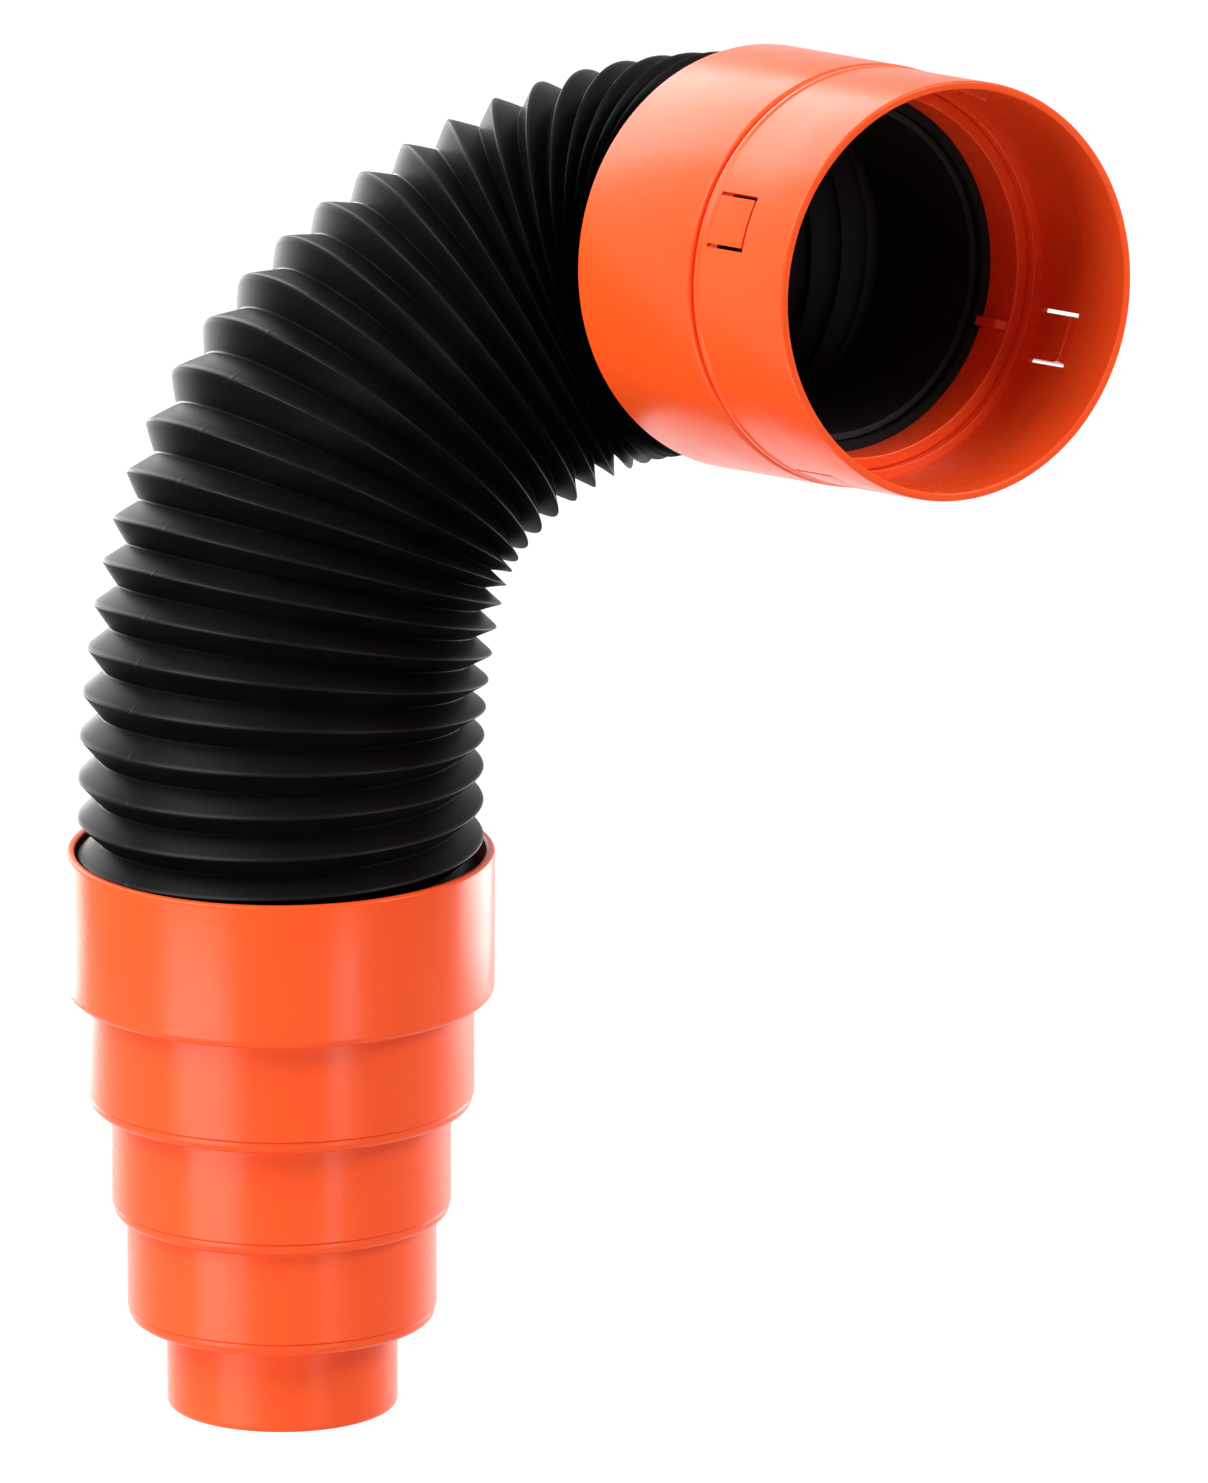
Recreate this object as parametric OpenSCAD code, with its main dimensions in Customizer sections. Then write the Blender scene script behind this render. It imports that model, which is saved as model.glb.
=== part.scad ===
// Sewer hose kit: a stepped outlet adapter, a ribbed flexible hose and a swivel coupling with latch tabs.
// Frame: millimetres, +Z up along the adapter, origin at the centre of the adapter's open lower end.
// The coupling's mouth faces +X and a little up.

/* [Outlet adapter] */
// Outer diameter of the outlet spigot at the bottom
outlet_d = 51.2; // [40:0.2:56]
// Length of the outlet spigot that stands out
outlet_len = 20; // [14:0.5:40]
// Outer diameter of the lowest step
low_step_d = 68.6; // [64:0.2:70]
// Height of the lowest step
low_step_h = 24; // [18:0.5:40]
// Outer diameter of the middle step
mid_step_d = 75.2; // [74:0.2:78]
// Height of the middle step
mid_step_h = 25; // [18:0.5:40]
// Outer diameter of the top step
top_step_d = 85.6; // [83:0.2:88]
// Height of the top step
top_step_h = 25.5; // [18:0.5:40]
// Outer diameter of the hose cup at its rim
cup_d = 95; // [94:0.2:110]
// Depth of the hose cup, shoulder to rim
cup_h = 33; // [30:0.5:45]
// Wall thickness of the adapter's pieces
adapter_wall = 2.5; // [2:0.1:3]
// Height of the flange under each step
flange_h = 3; // [2.5:0.1:4]
// Length of the spigot above each flange
spigot_h = 9; // [8:0.5:12]

/* [Hose] */
// Outer diameter over the ribs
rib_d = 90; // [87:0.2:90.2]
// Outer diameter in the valleys between the ribs
valley_d = 81; // [79:0.2:82]
// Outer diameter of the hose's plain ends
cuff_d = 79; // [78:0.2:80]
// Wall thickness of the hose
hose_wall = 1.2; // [1:0.1:1.4]
// Distance from one rib to the next at the cup
rib_pitch = 8.67; // [8:0.01:10]
// Distance from one rib to the next in the coupling, where the hose is pushed together
top_pitch = 3.73; // [3.4:0.01:9]
// Ribs from one guide point of the bend to the next
ribs_per_guide = 3.62; // [3:0.01:4.4]
// Number of sides round the hose
hose_sides = 32; // [24:2:36]
// Guide points that draw the bend, from the cup to the coupling
bend_guides = [
    [-1.5, 6, 186.5], [-2.5, 16.5, 212.5], [-1, 40.5, 233], [7, 67, 248.5], [25.5, 84.5, 256.5]
]; // five points [x, y, z]
// End of the bend, on the coupling's axis
bend_end = [58.5, 91.3, 261.6]; // [x, y, z]
// Angle between the adapter's axis and the coupling's axis
bend_angle = 83; // [70:1:100]
// How much smaller the hose's radius is in the middle of the bend, where it is stretched
bend_thin = 1.7; // [0:0.1:2.5]

/* [Swivel coupling] */
// Bore of the mouth, for an outlet pipe of 88.9 mm
mouth_bore = 89; // [88.8:0.1:90]
// Outer diameter of the mouth
mouth_d = 92.8; // [92.4:0.1:94]
// Outer diameter of the fixed sleeve
sleeve_d = 93.8; // [93.6:0.1:96]
// Length of the fixed sleeve
sleeve_len = 44; // [44:0.5:60]
// Length of the locking collar in front of the sleeve
collar_len = 35.6; // [34:0.1:50]
// Length of a latch tab
tab_len = 13.2; // [10:0.2:15]
// Width of a latch tab
tab_w = 11; // [8:0.5:16]
// Width of the slit round a latch tab
slit_w = 0.9; // [0.7:0.1:1.5]
// How far a latch tab's barb stands into the bore
barb_h = 0.9; // [0.5:0.1:1.4]

/* [Hidden] */
$fn = 96;

orange = [1.0, 0.41, 0.21];
rubber_black = [0.06, 0.06, 0.065];
clip_grey = [0.75, 0.76, 0.78];

// Heights of the adapter's shoulders, counted up from the outlet's open end
low_z = outlet_len;
mid_z = low_z + low_step_h;
top_z = mid_z + mid_step_h;
cup_z = top_z + top_step_h;
rim_z = cup_z + cup_h;

band_in = 0.4;      // a flange is this much smaller in radius than the step above it
slip = 0.1;         // clearance between a spigot and the tube it sits in
edge_r = 1.8;       // rounding of the lower outer edges
seal_w = 1.7;       // width and depth of an O-ring groove
cup_wall = 2.0;
cup_bore_r = cup_d / 2 - cup_wall;
floor_z = cup_z + adapter_wall;     // the cup's floor, which the gasket lies on
gasket_h = 1.5;
foot_h = 2;
foot_z = floor_z + gasket_h + 0.1;  // underside of the lower liner's foot
clip_z = foot_z + foot_h + 0.1;
clip_h = 1.2;

cuff_r = cuff_d / 2;
liner_r = cuff_r - hose_wall - 0.5;
liner_wall = 1.5;
hose_low_z = foot_z + foot_h;

// Coupling, along its own +Z from the sleeve's rear edge to the mouth
coupling_len = sleeve_len + collar_len;
sleeve_inset = 6;                     // the sleeve's rear edge lies this far before the bend's end
sleeve_bore_r = sleeve_d / 2 - 1.6;
sleeve_rear_r = sleeve_d / 2 - 1.1;   // wider bore at the rear, where the hose's ribs enter
skirt_r = sleeve_bore_r - 0.1;        // the collar's skirt runs in the sleeve
skirt_bore_r = skirt_r - 2.1;
skirt_z = 28;
clip_groove_r = skirt_r - 1.3;        // floor of the skirt's groove for the swivel clip
collar_z = sleeve_len + 1.4;          // groove between the sleeve and the collar
insert_r = skirt_bore_r - 0.1;        // the insert's nose runs in the skirt
insert_bore_r = cuff_r + 0.7;
insert_wall = 1.6;
insert_z = 15;
hose_top_z = 32;                      // the hose's upper end
liner_z = -4.5;                       // inner end of the liner in the hose's upper end
key_h = 2.2;                          // how far the insert's keys stand in
tab_root_z = collar_z + 3.1;
tab_turn = 65;                        // angle of the first tab round the coupling's axis
land_z = tab_root_z + tab_len + slit_w + 0.8;   // the mouth's full bore starts here
relief_r = mouth_bore / 2 + 0.5;      // slightly wider bore behind it, where the tabs are
barb_r = mouth_bore / 2 - barb_h;
tab_r = mouth_d / 2 - 0.05;
tab_angle = tab_w / (mouth_d / 2) * 180 / PI;
slit_angle = slit_w / (mouth_d / 2) * 180 / PI;
barb_len = 3.4;
tab_gap = 0.05;

// ---- route of the hose ------------------------------------------------------------

// The hose's axis is a smooth curve, a uniform cubic B-spline, that the guide points draw towards them.
// The place u on it counts guide points: 0 at the cup's rim and bend_n at bend_end, and it runs straight
// on beyond them. The ribs are evenly spaced in u, so they are closer together where the guides are.
out_axis = [sin(bend_angle), 0, cos(bend_angle)];
low_gap = ribs_per_guide * rib_pitch;
top_gap = ribs_per_guide * top_pitch;
rim = [0, 0, rim_z];
guides = concat(
    [rim - [0, 0, low_gap], rim, rim + [0, 0, low_gap]],
    bend_guides,
    [bend_end - top_gap * out_axis, bend_end, bend_end + top_gap * out_axis]);
bend_n = len(guides) - 3;

// Four guide points from number i on, each times its weight
function blend(i, w) =
    w[0] * guides[i] + w[1] * guides[i + 1] + w[2] * guides[i + 2] + w[3] * guides[i + 3];
function bump(f) = 1 + 3 * f + 3 * f * f - 3 * pow(f, 3);
function centre(u) =
    u <= 0 ? rim + [0, 0, u * low_gap] :
    u >= bend_n ? bend_end + (u - bend_n) * top_gap * out_axis :
    let (i = floor(u), f = u - i, g = 1 - f)
    blend(i, [pow(g, 3), bump(g), bump(f), pow(f, 3)]) / 6;
function along(u) =
    u <= 0 ? [0, 0, 1] :
    u >= bend_n ? out_axis :
    let (i = floor(u), f = u - i)
    let (d = blend(i, [-pow(1 - f, 2), 3 * f * f - 4 * f, 1 + 2 * f - 3 * f * f, f * f])) d / norm(d);
function across(u) = let (a = along(u), b = [a[2], 0, -a[0]]) b / norm(b);
function aside(u) = cross(along(u), across(u));

sleeve_rear = bend_end - sleeve_inset * out_axis;
mouth = sleeve_rear + coupling_len * out_axis;
echo(sleeve_rear = sleeve_rear, mouth = mouth, axis = out_axis);

module at_coupling() {
    translate(sleeve_rear) rotate([0, bend_angle, 0]) children();
}

// ---- shared shapes ------------------------------------------------------------------

// Points of an arc, from angle a to angle b
function arc(x, y, r, a, b, n = 5) = [
    for (i = [0:n]) let (w = a + (b - a) * i / n) [x + r * cos(w), y + r * sin(w)]
];

// A solid of revolution from [radius, height] points
module turned(points) {
    rotate_extrude() polygon(points);
}

module ring(outer_r, inner_r, z, h) {
    turned([[inner_r, z], [outer_r, z], [outer_r, z + h], [inner_r, z + h]]);
}

// A round seal ring that fills a groove from inner_r out by seal_w
module o_ring(inner_r, z) {
    color(rubber_black) translate([0, 0, z]) rotate_extrude()
        translate([inner_r + seal_w / 2, 0]) circle(r = seal_w / 2 - 0.03, $fn = 24);
}

// A ring with a gap, as a spring clip has
module split_ring(outer_r, inner_r, z, h, gap) {
    color(clip_grey) difference() {
        ring(outer_r, inner_r, z, h);
        translate([0, -gap / 2, z - 1]) cube([outer_r + 1, gap, h + 2]);
    }
}

// ---- outlet adapter -----------------------------------------------------------------

// A reducer: a rounded flange, a tube below it, and a grooved spigot that enters the piece above
module reducer(upper_r, tube_r, z, tube_bottom) {
    flange_r = upper_r - band_in;
    spigot_r = upper_r - adapter_wall - slip;
    bore_r = tube_r - adapter_wall;
    spigot_bore_r = min(spigot_r - seal_w - 1.2, max(bore_r, spigot_r - 4));
    groove_z = z + flange_h + spigot_h / 2;
    color(orange) difference() {
        turned(concat(
            [[bore_r, tube_bottom], [tube_r, tube_bottom], [tube_r, z]],
            arc(flange_r - edge_r, z + edge_r, edge_r, -90, 0),
            [[flange_r, z + flange_h], [spigot_r, z + flange_h], [spigot_r, z + flange_h + spigot_h],
             [spigot_bore_r, z + flange_h + spigot_h], [spigot_bore_r, z + flange_h],
             [bore_r, z + flange_h - 1]]));
        ring(spigot_r + 1, spigot_r - seal_w + slip, groove_z - seal_w / 2, seal_w);
    }
}

// The O-ring of the reducer whose flange lies at z, under a tube of radius upper_r
module joint_seal(upper_r, z) {
    o_ring(upper_r - adapter_wall - seal_w, z + flange_h + spigot_h / 2);
}

module hose_socket() {
    r = top_step_d / 2;
    rim_r = cup_d / 2;
    low_r = rim_r - 0.2;
    color(orange) difference() {
        turned(concat(
            [[r - adapter_wall, top_z + flange_h], [r, top_z + flange_h], [r, cup_z]],
            arc(low_r - edge_r, cup_z + edge_r, edge_r, -90, 0),
            arc(rim_r - 0.7, rim_z - 0.7, 0.7, 0, 90, 3),
            arc(cup_bore_r + 0.5, rim_z - 0.5, 0.5, 90, 180, 3),
            [[cup_bore_r, floor_z], [r - adapter_wall, floor_z]]));
        ring(cup_bore_r + 0.9, cup_bore_r - 1, clip_z, clip_h + 0.2);
    }
}

module upper_reducer() {
    reducer(top_step_d / 2, mid_step_d / 2, top_z, mid_z + flange_h);
}

module lower_reducer() {
    reducer(mid_step_d / 2, low_step_d / 2, mid_z, low_z + flange_h);
}

module outlet_spigot() {
    reducer(low_step_d / 2, outlet_d / 2, low_z, 0);
}

module upper_joint_seal() {
    joint_seal(top_step_d / 2, top_z);
}

module middle_joint_seal() {
    joint_seal(mid_step_d / 2, mid_z);
}

module lower_joint_seal() {
    joint_seal(low_step_d / 2, low_z);
}

// Flat gasket on the cup's floor, under the liner's foot
module socket_gasket() {
    color(rubber_black) ring(cup_bore_r - 0.4, top_step_d / 2 - adapter_wall + 0.2, floor_z, gasket_h);
}

// Spring clip in the cup's inner groove, over the liner's foot
module socket_clip() {
    split_ring(cup_bore_r + 0.8, cuff_r + 2, clip_z, clip_h, 9);
}

// ---- hose ---------------------------------------------------------------------------

// Stiff liner in the hose's lower end; its foot turns in the cup between the gasket and the clip
module lower_hose_liner() {
    color(rubber_black) turned([
        [liner_r - liner_wall, foot_z], [cup_bore_r - 0.1, foot_z], [cup_bore_r - 0.1, foot_z + foot_h],
        [liner_r, foot_z + foot_h], [liner_r, rim_z - 6], [liner_r - liner_wall, rim_z - 6]]);
}

// Stiff liner in the hose's upper end, reaching a little out of the sleeve into the bend
module upper_hose_liner() {
    at_coupling() color(rubber_black)
        ring(liner_r, liner_r - liner_wall, liner_z, hose_top_z - 0.6 - liner_z);
}

// The rib winds round the hose like a screw thread. The wall is a grid of points: row i climbs half a
// pitch above row i - 1, rows take turns as crest and valley, and every row climbs a whole pitch in a turn.
cuff_low = 4;
hose_u0 = (hose_low_z - rim_z) / low_gap;
hose_u1 = bend_n + (hose_top_z - sleeve_inset) / top_gap;
row_u = 0.5 / ribs_per_guide;
rib_u0 = hose_u0 + cuff_low / low_gap;
rib_room = bend_n + (insert_z - 1 - sleeve_inset) / top_gap - rib_u0;
rib_rows = 2 * floor(ribs_per_guide * rib_room - 1);
rib_u1 = rib_u0 + row_u * (rib_rows + 2);
rib_phase = 243;    // angle round the hose at which the rib's grid starts

function hose_u(i, j) = rib_u0 + row_u * (i + 2 * j / hose_sides);
// Ribs grow from the plain cuffs over one turn
function rib_share(u) = min(1, max(0, min(u - rib_u0, rib_u1 - u) * ribs_per_guide));
function thinned(u) = bend_thin * pow(sin(180 * min(1, max(0, u / bend_n))), 2);
function rib_r(i, u) =
    cuff_r + ((i % 2 == 0 ? valley_d : rib_d) / 2 - cuff_r) * rib_share(u) - thinned(u);
function round_at(u, r, j) =
    let (w = 360 * j / hose_sides + rib_phase)
    centre(u) + r * (cos(w) * across(u) + sin(w) * aside(u));

// Points of one surface of the wall, inset by w: the low end, the grid, two extra points, the top end
function wall_points(w) = concat(
    [for (j = [0:hose_sides - 1]) round_at(hose_u0, cuff_r - w, j)],
    [for (i = [0:rib_rows]) for (j = [0:hose_sides - 1])
        let (u = hose_u(i, j)) round_at(u, rib_r(i, u) - w, j)],
    [for (i = [rib_rows + 1, rib_rows + 2]) let (u = hose_u(i, 0)) round_at(u, rib_r(i, u) - w, 0)],
    [for (j = [0:hose_sides - 1]) round_at(hose_u1, cuff_r - w, j)]);
wall_n = (rib_rows + 3) * hose_sides + 2;

function low_at(j) = j % hose_sides;
function grid_at(i, j) =
    j == hose_sides ? grid_at(i + 2, 0) :
    i <= rib_rows ? (i + 1) * hose_sides + j : (rib_rows + 2) * hose_sides + i - rib_rows - 1;
function high_at(j) = wall_n - hose_sides + j % hose_sides;

// Triangles of one surface, facing outwards
wall_faces = concat(
    [for (i = [0:rib_rows - 1]) for (j = [0:hose_sides - 1]) each
        [[grid_at(i, j), grid_at(i + 1, j), grid_at(i + 1, j + 1)],
         [grid_at(i, j), grid_at(i + 1, j + 1), grid_at(i, j + 1)]]],
    [for (j = [0:hose_sides - 1]) each
        [[low_at(j), grid_at(0, j), low_at(j + 1)],
         if (j < hose_sides - 1) [low_at(j + 1), grid_at(0, j), grid_at(0, j + 1)]]],
    [for (i = [0:1]) [grid_at(i, 0), grid_at(0, hose_sides - 1), grid_at(i + 1, 0)]],
    [[low_at(0), grid_at(0, hose_sides - 1), grid_at(0, 0)]],
    [for (j = [0:hose_sides - 1]) each
        [[high_at(j), high_at(j + 1), grid_at(rib_rows, j + 1)],
         if (j > 0) [high_at(j), grid_at(rib_rows, j + 1), grid_at(rib_rows, j)]]],
    [for (i = [0:1]) [grid_at(rib_rows + i, 0), grid_at(rib_rows + i + 1, 0), grid_at(rib_rows, 1)]],
    [[grid_at(rib_rows + 2, 0), high_at(0), grid_at(rib_rows, 1)]]);

module ribbed_hose() {
    inner = [for (f = wall_faces) [f[0] + wall_n, f[2] + wall_n, f[1] + wall_n]];
    ends = [for (j = [0:hose_sides - 1]) each
        [[low_at(j), low_at(j + 1), low_at(j + 1) + wall_n],
         [low_at(j), low_at(j + 1) + wall_n, low_at(j) + wall_n],
         [high_at(j + 1), high_at(j), high_at(j) + wall_n],
         [high_at(j + 1), high_at(j) + wall_n, high_at(j + 1) + wall_n]]];
    points = concat(wall_points(0), wall_points(hose_wall));
    color(rubber_black) polyhedron(points, concat(wall_faces, inner, ends));
}

// ---- swivel coupling ----------------------------------------------------------------

// Fixed outer sleeve over the hose's end, with an inner groove for the swivel clip
module coupling_sleeve() {
    r = sleeve_d / 2;
    at_coupling() color(orange) difference() {
        turned(concat(
            arc(sleeve_rear_r + 0.3, 0.3, 0.3, 180, 270, 3),
            arc(r + 0.2 - 0.8, 0.8, 0.8, -90, 0, 4),
            arc(r - 0.9, sleeve_len - 0.9, 0.9, 0, 90, 4),
            [[sleeve_bore_r, sleeve_len], [sleeve_bore_r, insert_z], [sleeve_rear_r, insert_z - 1]]));
        ring(sleeve_bore_r + 0.8, sleeve_bore_r - 1, 32, 1.6);
    }
}

// Insert that holds the hose's end: a web inside the sleeve, a tube, and a nose whose face stops the pipe
module hose_end_insert() {
    nose_z = sleeve_len - 5;
    at_coupling() color(orange) {
        difference() {
            turned([
                [insert_bore_r, insert_z], [insert_bore_r + insert_wall, insert_z],
                [insert_bore_r + insert_wall, 20], [sleeve_bore_r, 20], [sleeve_bore_r, 23],
                [insert_bore_r + insert_wall, 23], [insert_bore_r + insert_wall, nose_z],
                [insert_r, nose_z], [insert_r, sleeve_len], [insert_bore_r, sleeve_len]]);
            ring(insert_r + 1, insert_r - seal_w + 0.03, nose_z + 1.7, seal_w);
        }
        for (a = [0, 180]) rotate([0, 0, a + tab_turn])
            translate([insert_bore_r - key_h, -1, hose_top_z + 2])
                cube([key_h + 0.4, 2, sleeve_len - hose_top_z - 2.6]);
    }
}

// Flat seal between the hose's end and the insert's keys
module hose_end_seal() {
    at_coupling() color(rubber_black) ring(insert_bore_r - 0.1, liner_r + 0.2, hose_top_z, 1.6);
}

module collar_seal() {
    at_coupling() o_ring(insert_r - seal_w, sleeve_len - 5 + 1.7 + seal_w / 2);
}

// Spring clip, held in the sleeve's groove, that keeps the collar's skirt from pulling out
module swivel_clip() {
    at_coupling() split_ring(sleeve_bore_r + 0.7, clip_groove_r + 0.1, 32.2, 1.2, 10);
}

// Room in the collar for one latch tab: its own outline and the slits round it
module tab_window() {
    sweep = tab_angle + 2 * slit_angle;
    rotate([0, 0, -sweep / 2]) translate([0, 0, tab_root_z]) rotate_extrude(angle = sweep)
        translate([mouth_bore / 2 - 3, 0]) square([8, tab_len + slit_w]);
}

// Turning collar: a skirt inside the sleeve, a lip at the groove, and a bore for the outlet pipe
module locking_collar() {
    r = mouth_d / 2;
    b = mouth_bore / 2;
    at_coupling() color(orange) difference() {
        turned(concat(
            [[skirt_bore_r, skirt_z], [skirt_r, skirt_z], [skirt_r, 31.8], [clip_groove_r, 31.8],
             [clip_groove_r, 33.8], [skirt_r, 33.8], [skirt_r, sleeve_len + 0.2],
             [r - 0.7, sleeve_len + 0.2],
             [r - 0.7, collar_z], [r + 0.3, collar_z], [r + 0.3, collar_z + 0.8]],
            arc(r + 0.8, collar_z + 1.6, 0.8, -135, -180, 2),
            arc(r - 0.6, coupling_len - 0.6, 0.6, 0, 90, 3),
            arc(b + 0.4, coupling_len - 0.4, 0.4, 90, 180, 3),
            [[b, land_z], [relief_r, land_z], [relief_r, collar_z + 0.8], [skirt_bore_r, collar_z + 0.8]]));
        for (a = [0:90:270]) rotate([0, 0, a + tab_turn]) tab_window();
    }
}

// One springy tab of the collar's wall, with a barb on its free end that catches the outlet pipe's groove
module latch_tab(a) {
    at_coupling() color(orange)
        rotate([0, 0, a + tab_turn - tab_angle / 2]) rotate_extrude(angle = tab_angle) polygon([
            [relief_r, tab_root_z + tab_gap], [tab_r, tab_root_z + tab_gap],
            [tab_r, tab_root_z + tab_len], [barb_r, tab_root_z + tab_len],
            [barb_r, tab_root_z + tab_len - 0.6],
            [relief_r, tab_root_z + tab_len - barb_len]]);
}

module latch_tab_1() {
    latch_tab(0);
}

module latch_tab_2() {
    latch_tab(90);
}

module latch_tab_3() {
    latch_tab(180);
}

module latch_tab_4() {
    latch_tab(270);
}

hose_socket();
upper_reducer();
lower_reducer();
outlet_spigot();
upper_joint_seal();
middle_joint_seal();
lower_joint_seal();
socket_gasket();
socket_clip();
lower_hose_liner();
ribbed_hose();
coupling_sleeve();
hose_end_insert();
upper_hose_liner();
hose_end_seal();
collar_seal();
swivel_clip();
locking_collar();
latch_tab_1();
latch_tab_2();
latch_tab_3();
latch_tab_4();
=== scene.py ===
# %% [markdown]
# # A sewer hose kit for a caravan
#
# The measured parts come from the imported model. This file gives them their surfaces, so the sizes
# of the pieces repeat the model's sizes. They are in millimetres, and turned into metres where a
# mesh is made.

import bpy
import numpy as np
from mathutils import Matrix, Vector


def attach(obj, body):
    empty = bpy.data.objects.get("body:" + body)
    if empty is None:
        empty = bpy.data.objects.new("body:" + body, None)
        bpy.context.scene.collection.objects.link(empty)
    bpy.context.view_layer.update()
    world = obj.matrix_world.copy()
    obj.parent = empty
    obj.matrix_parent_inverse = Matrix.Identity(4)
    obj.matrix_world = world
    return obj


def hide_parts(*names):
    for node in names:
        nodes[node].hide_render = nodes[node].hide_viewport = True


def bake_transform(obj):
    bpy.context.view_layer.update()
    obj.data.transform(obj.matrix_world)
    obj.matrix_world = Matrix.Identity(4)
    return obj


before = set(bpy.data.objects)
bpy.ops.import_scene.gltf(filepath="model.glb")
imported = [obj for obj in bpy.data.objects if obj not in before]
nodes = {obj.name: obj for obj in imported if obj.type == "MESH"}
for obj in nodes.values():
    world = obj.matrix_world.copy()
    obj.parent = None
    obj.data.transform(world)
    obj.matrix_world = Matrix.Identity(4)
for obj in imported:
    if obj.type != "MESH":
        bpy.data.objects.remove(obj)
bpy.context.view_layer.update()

# %% [markdown]
# ## Camera
#
# A product picture of a long thing is often taken from far away with a long lens, so that the near
# end isn't swollen. The camera stands almost twelve metres off, a little above the hose, and its
# sensor's long side is the picture's height.

# %% Camera
AIM = Vector((0.05097, 0.05202, 0.15556))
DISTANCE = 11.7
TURN, RISE, TILT = np.radians((-34.0, 15.742, -0.139))

camera = bpy.data.objects.new("Camera", bpy.data.cameras.new("Camera"))
bpy.context.scene.collection.objects.link(camera)
bpy.context.scene.camera = camera

back = Vector((np.cos(RISE) * np.cos(TURN), np.cos(RISE) * np.sin(TURN), np.sin(RISE)))
level_side = Vector((-np.sin(TURN), np.cos(TURN), 0))
level_up = back.cross(level_side)
right = level_side * np.cos(TILT) + level_up * np.sin(TILT)
up = level_up * np.cos(TILT) - level_side * np.sin(TILT)
camera.matrix_world = Matrix.Translation(AIM + back * DISTANCE) @ Matrix(
    (right, up, back)).transposed().to_4x4()
camera.data.sensor_width = 36
camera.data.lens = 1286.8
camera.data.clip_start = 1
camera.data.clip_end = 60
print("camera stands", round(camera.location.length, 2), "m away")

# %% [markdown]
# ## Light and background
#
# Glossy plastic is drawn by what it mirrors, so the room matters as much as the lamps. The world
# is even and weak for soft light, and plain white for rays that come from the camera, a mirror or
# glass.

# %% World
scene = bpy.context.scene
scene.view_settings.view_transform = "Standard"
SOFT_LIGHT = 0.16


def maths(tree, operation, a, b=0.0):
    """Value of a maths node that joins a and b, each a number or a socket."""
    node = tree.nodes.new("ShaderNodeMath")
    node.operation = operation
    for socket, value in zip(node.inputs, (a, b)):
        if isinstance(value, (int, float)):
            socket.default_value = value
        else:
            tree.links.new(value, socket)
    return node.outputs[0]


def seen_rays(tree):
    """1 for rays from the camera, a mirror or glass, and 0 for rays that carry soft light."""
    rays = tree.nodes.new("ShaderNodeLightPath").outputs
    through = maths(tree, "MAXIMUM", rays["Is Glossy Ray"], rays["Is Transmission Ray"])
    return maths(tree, "MAXIMUM", rays["Is Camera Ray"], through)


world = bpy.data.worlds.new("Studio")
scene.world = world
world.use_nodes = True
air = world.node_tree.nodes["Background"]
air.inputs["Color"].default_value = (1, 1, 1, 1)
strength = maths(world.node_tree, "MAXIMUM", seen_rays(world.node_tree), SOFT_LIGHT)
world.node_tree.links.new(strength, air.inputs["Strength"])
print("soft light:", SOFT_LIGHT)

# %% [markdown]
# ## Floor
#
# The hose hangs from a tank, so the floor lies a little below the adapter's open end. Its pale grey
# paint glows for those same rays only, which lifts it to white and still leaves the object's shadow,
# and no extra light falls on the object. A single large square is enough, because nothing but the
# paint is seen of it.

# %% Floor
FLOOR_Z, FLOOR_REACH, FLOOR_GREY, FLOOR_GLOW = -0.25, 20, 0.3, 0.86

floor_mesh = bpy.data.meshes.new("Floor")
corners = [(x * FLOOR_REACH, y * FLOOR_REACH, FLOOR_Z) for x, y in ((-1, -1), (1, -1), (1, 1), (-1, 1))]
floor_mesh.from_pydata(corners, [], [(0, 1, 2, 3)])
floor = bpy.data.objects.new("Floor", floor_mesh)
scene.collection.objects.link(floor)
paint = bpy.data.materials.new("Floor_paint")
paint.use_nodes = True
matt = paint.node_tree.nodes["Principled BSDF"]
matt.inputs["Base Color"].default_value = (FLOOR_GREY, FLOOR_GREY, FLOOR_GREY, 1)
matt.inputs["Roughness"].default_value = 0.9
matt.inputs["Emission Color"].default_value = (1, 1, 1, 1)
glow = maths(paint.node_tree, "MULTIPLY", seen_rays(paint.node_tree), FLOOR_GLOW)
paint.node_tree.links.new(glow, matt.inputs["Emission Strength"])
floor_mesh.materials.append(paint)
print("floor at", FLOOR_Z, "m")

# %% [markdown]
# ## Lamps
#
# The lamps are soft boxes round the object, each given by how far it is turned from the camera's
# side, to the right, and how high it stands. The camera looks down a little, so an upright wall
# mirrors what is low: two weak boxes low in front draw soft streaks down it, and two behind the
# object draw pale bands along its edges. One more behind, higher up, gives the coupling's top its
# sheen. The two high ones light the steps and the coupling from above, and that leaves a soft
# shadow under each step.

# %% Lamps
MIDDLE = Vector((0.045, 0.045, 0.16))


def softbox(name, turn, rise, far, width, height, watts):
    """A soft box far metres from the object's middle, turned by turn degrees from the camera's side
    to the right and raised by rise degrees: far * (cos rise * (cos turn * front + sin turn * side)
    + sin rise * z), with front and side the level parts of the camera's back and right."""
    front, side = Vector((back.x, back.y, 0)).normalized(), Vector((right.x, right.y, 0)).normalized()
    turn, rise = np.radians(turn), np.radians(rise)
    level = front * np.cos(turn) + side * np.sin(turn)
    away = level * np.cos(rise) + Vector((0, 0, np.sin(rise)))
    lamp = bpy.data.lights.new(name, "AREA")
    lamp.shape = "RECTANGLE"
    lamp.size, lamp.size_y = width, height
    lamp.energy = watts
    o = bpy.data.objects.new(name, lamp)
    scene.collection.objects.link(o)
    o.location = MIDDLE + away * far
    o.rotation_mode = "QUATERNION"
    o.rotation_quaternion = (-away).to_track_quat("-Z", "Y")


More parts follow.
